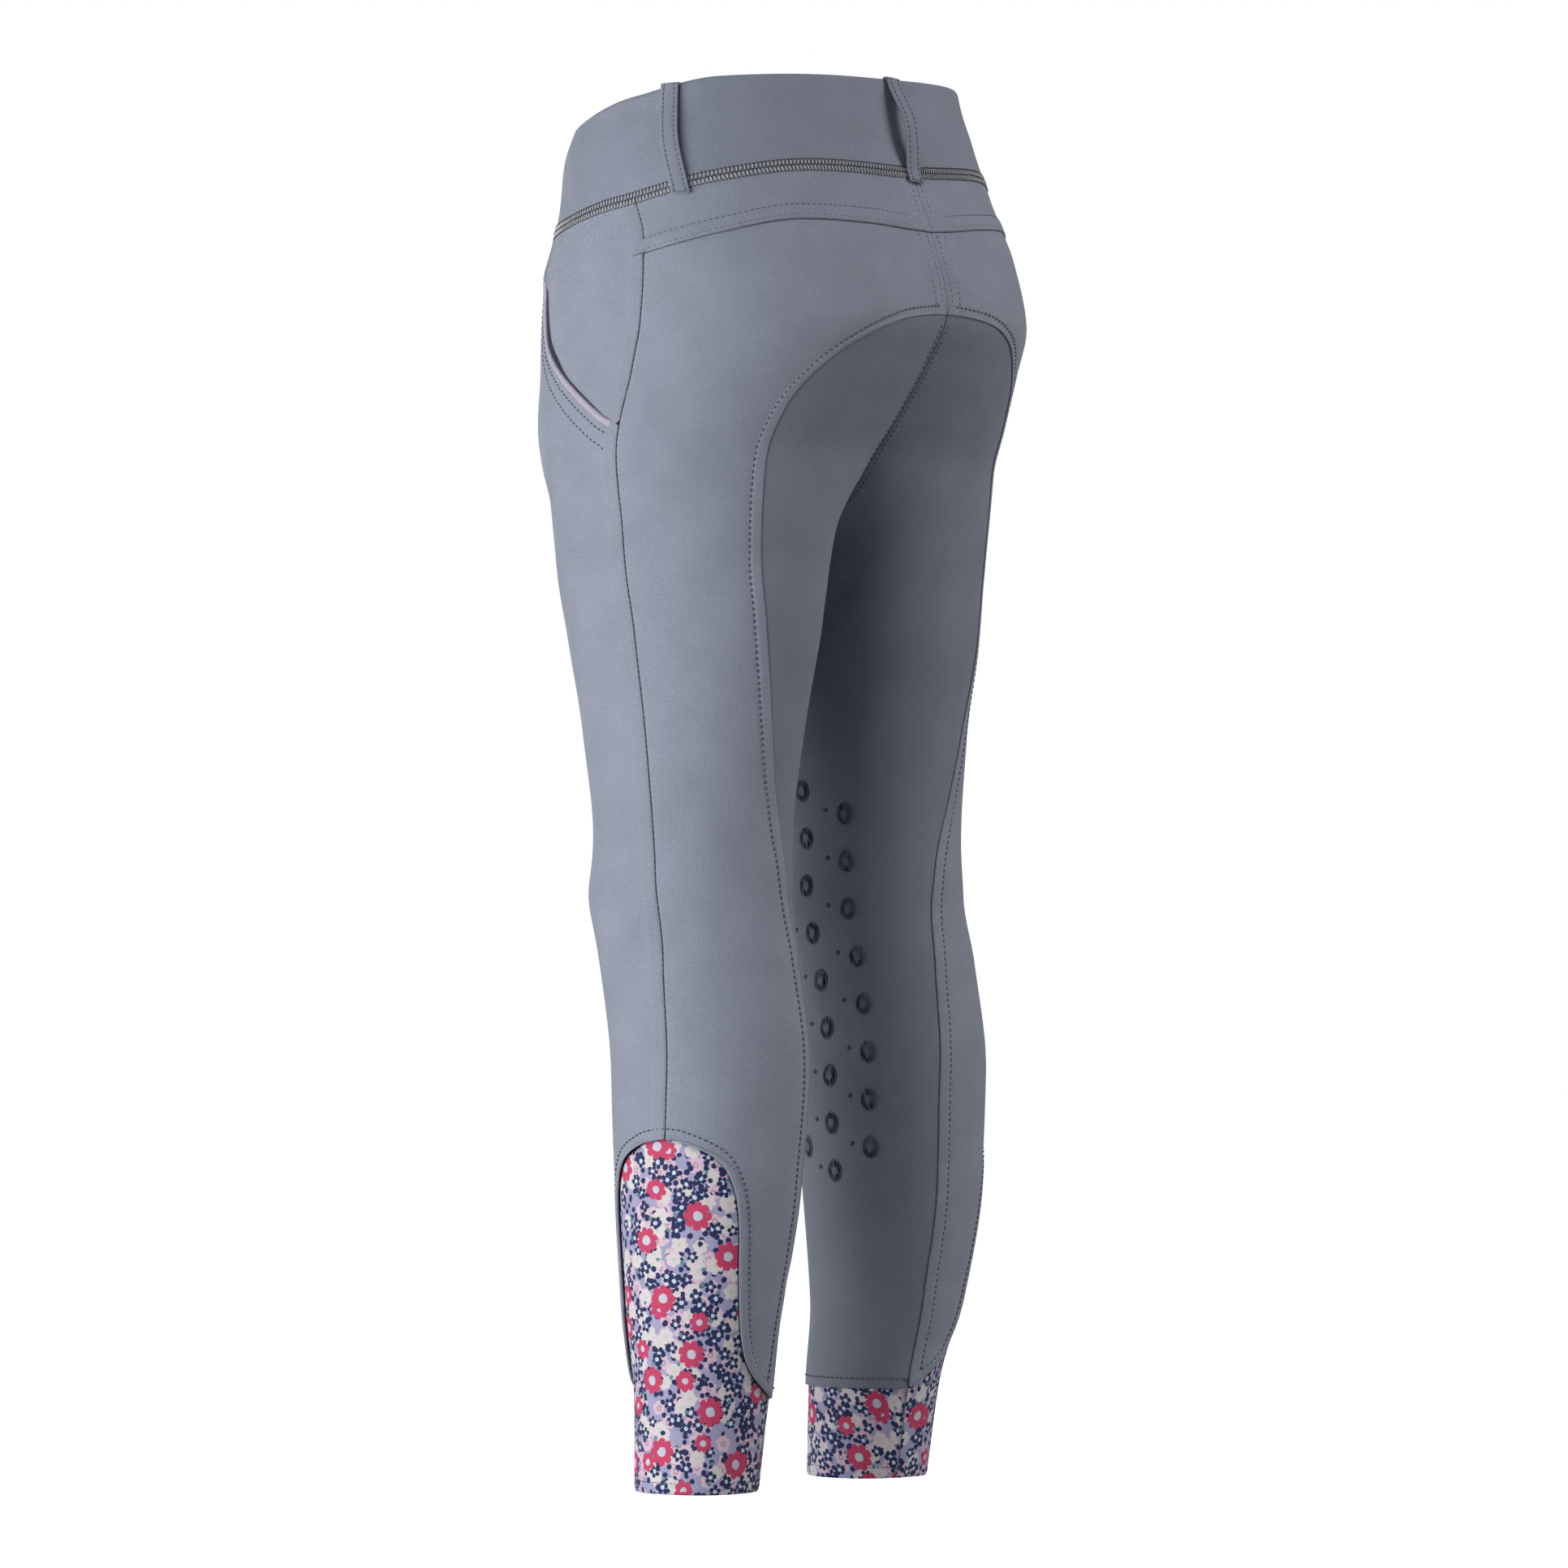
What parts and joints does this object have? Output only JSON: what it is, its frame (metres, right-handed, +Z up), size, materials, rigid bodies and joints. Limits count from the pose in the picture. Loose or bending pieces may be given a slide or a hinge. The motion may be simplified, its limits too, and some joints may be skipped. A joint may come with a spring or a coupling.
{
  "type": "riding breeches",
  "caption": "Full-seat riding breeches in the shape they have when worn, hollow, with a wide waistband, belt loops, curved pockets and printed calf inserts that end in ankle cuffs.",
  "frame": {"origin": "middle of the waistband, where the breeches are held up", "axes": "+Z up towards the waist, the front towards -Y, the wearer's left towards +X"},
  "size_m": [0.266, 0.2249, 0.7486],
  "materials": {
    "outer_cloth": "brushed stretch knit",
    "seat_cloth": "plain soft stretch knit",
    "band_cloth": "plain wide stretch band",
    "piping": "satin",
    "printed_cloth": "thin printed stretch knit"
  },
  "bodies": {
    "root": {"waistband": "band_cloth", "yoke_left": "outer_cloth", "yoke_right": "outer_cloth", "back_left": "outer_cloth", "back_right": "outer_cloth", "seat_left": "seat_cloth", "seat_right": "seat_cloth", "front_left": "outer_cloth", "front_right": "outer_cloth", "side_front_left": "outer_cloth", "side_front_right": "outer_cloth", "pocket_piping_left": "piping", "pocket_piping_right": "piping", "cuff_left": "printed_cloth", "cuff_right": "printed_cloth", "loop_back": "band_cloth", "loop_side_left": "band_cloth", "loop_side_right": "band_cloth", "loop_front_left": "band_cloth", "loop_front_right": "band_cloth"}
  },
  "joints": []
}
